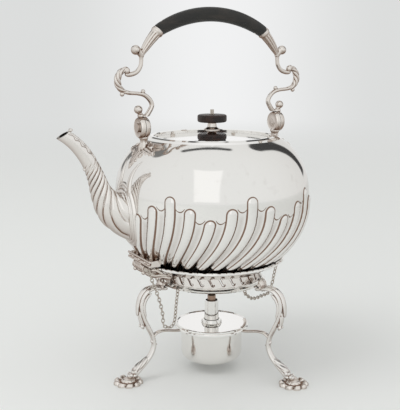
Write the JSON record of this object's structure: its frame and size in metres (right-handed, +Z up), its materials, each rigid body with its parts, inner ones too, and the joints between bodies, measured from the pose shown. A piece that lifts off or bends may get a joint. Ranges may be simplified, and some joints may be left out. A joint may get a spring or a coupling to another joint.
{
  "type": "tea kettle on stand with spirit burner",
  "caption": "Silver tea kettle with swing handle and beaked spout, hinged and pinned to a pierced ring stand on scroll legs, with a lift-out spirit burner below.",
  "frame": {"origin": "on the table, under the middle of the whole from the spout's beak to the handle; the upright axis of the kettle, its stand ring and the burner is at x = +28.364 mm", "axes": "+Z up; -X towards the spout and the hinge; the swing handle lies in the XZ plane; -Y is the side the pins draw out to"},
  "size_m": [0.2612, 0.194, 0.3638],
  "materials": {
    "polished_silver": "hand-polished silver, slightly warm, with fine wear",
    "chased_silver": "cast and chased silver, bright on the high places and brown with old tarnish in the low ones",
    "dark_wood": "ebonised turned wood with a soft satin polish",
    "wick_cotton": "plaited cotton, a little singed at the tip"
  },
  "bodies": {
    "stand": {"stand_flange": "polished_silver", "pierced_gallery": "chased_silver", "base_ring": "polished_silver", "stand_hinge_brackets": "chased_silver", "stand_lock_ears": "chased_silver", "leg_spout_side": "chased_silver", "leg_rear_right": "chased_silver", "leg_rear_left": "chased_silver", "foot_spout_side": "chased_silver", "foot_rear_right": "chased_silver", "foot_rear_left": "chased_silver", "leg_ornament_spout_side": "chased_silver", "leg_ornament_rear_right": "chased_silver", "leg_ornament_rear_left": "chased_silver", "burner_arm_spout_side": "polished_silver", "burner_arm_rear_right": "polished_silver", "burner_arm_rear_left": "polished_silver", "burner_ring": "polished_silver", "chain_eyelets": "polished_silver", "front_chain": "polished_silver", "rear_chain": "polished_silver"},
    "kettle": {"kettle_body": "polished_silver", "kettle_spout": "polished_silver", "spout_flare": "chased_silver", "kettle_collar": "polished_silver", "kettle_base_rim": "polished_silver", "kettle_hinge": "chased_silver", "kettle_lock_lug": "chased_silver", "handle_post_spout_side": "chased_silver", "handle_post_rear": "chased_silver", "handle_pivot_spout_side": "polished_silver", "handle_pivot_rear": "polished_silver"},
    "lid": {"lid_plate": "polished_silver", "lid_bezel": "polished_silver", "finial_lower_disc": "dark_wood", "finial_upper_disc": "dark_wood", "finial_stem": "polished_silver", "finial_bolt": "polished_silver", "finial_nut": "polished_silver"},
    "handle": {"handle_arm_spout_side": "chased_silver", "handle_arm_rear": "chased_silver", "handle_grip": "dark_wood", "grip_rivets": "polished_silver"},
    "front_pin": {"front_hinge_pin": "polished_silver"},
    "rear_pin": {"rear_lock_pin": "polished_silver"},
    "burner": {"burner_reservoir": "polished_silver", "burner_plate": "polished_silver", "burner_neck_collar": "polished_silver", "burner_thumbpiece": "chased_silver"},
    "wick_holder": {"wick_sleeve": "polished_silver", "wick_tube": "polished_silver", "wick": "wick_cotton"}
  },
  "joints": [
    {"name": "kettle_tilt", "type": "hinge", "parent": "stand", "child": "kettle", "pos_m": [-0.05064, 0, 0.1176], "axis": [0, -1, 0], "range_deg": [0, 40]},
    {"name": "handle_swing", "type": "hinge", "parent": "kettle", "child": "handle", "pos_m": [0.02836, 0, 0.2515], "axis": [1, 0, 0], "range_deg": [-85, 85]},
    {"name": "lid_lift", "type": "slide", "parent": "kettle", "child": "lid", "axis": [0, 0, 1], "range_m": [0, 0.05]},
    {"name": "front_pin_slide", "type": "slide", "parent": "stand", "child": "front_pin", "axis": [0, -1, 0], "range_m": [0, 0.03], "deforming": ["front_chain"]},
    {"name": "rear_pin_slide", "type": "slide", "parent": "stand", "child": "rear_pin", "axis": [0, -1, 0], "range_m": [0, 0.0361], "deforming": ["rear_chain"]},
    {"name": "burner_lift", "type": "slide", "parent": "stand", "child": "burner", "axis": [0, 0, 1], "range_m": [0, 0.02]},
    {"name": "wick_lift", "type": "slide", "parent": "burner", "child": "wick_holder", "axis": [0, 0, 1], "range_m": [0, 0.01]}
  ],
  "couplings": [
    {"joint": "rear_pin_slide", "follows": "kettle_tilt", "m_per_rad": 0.0516}
  ]
}
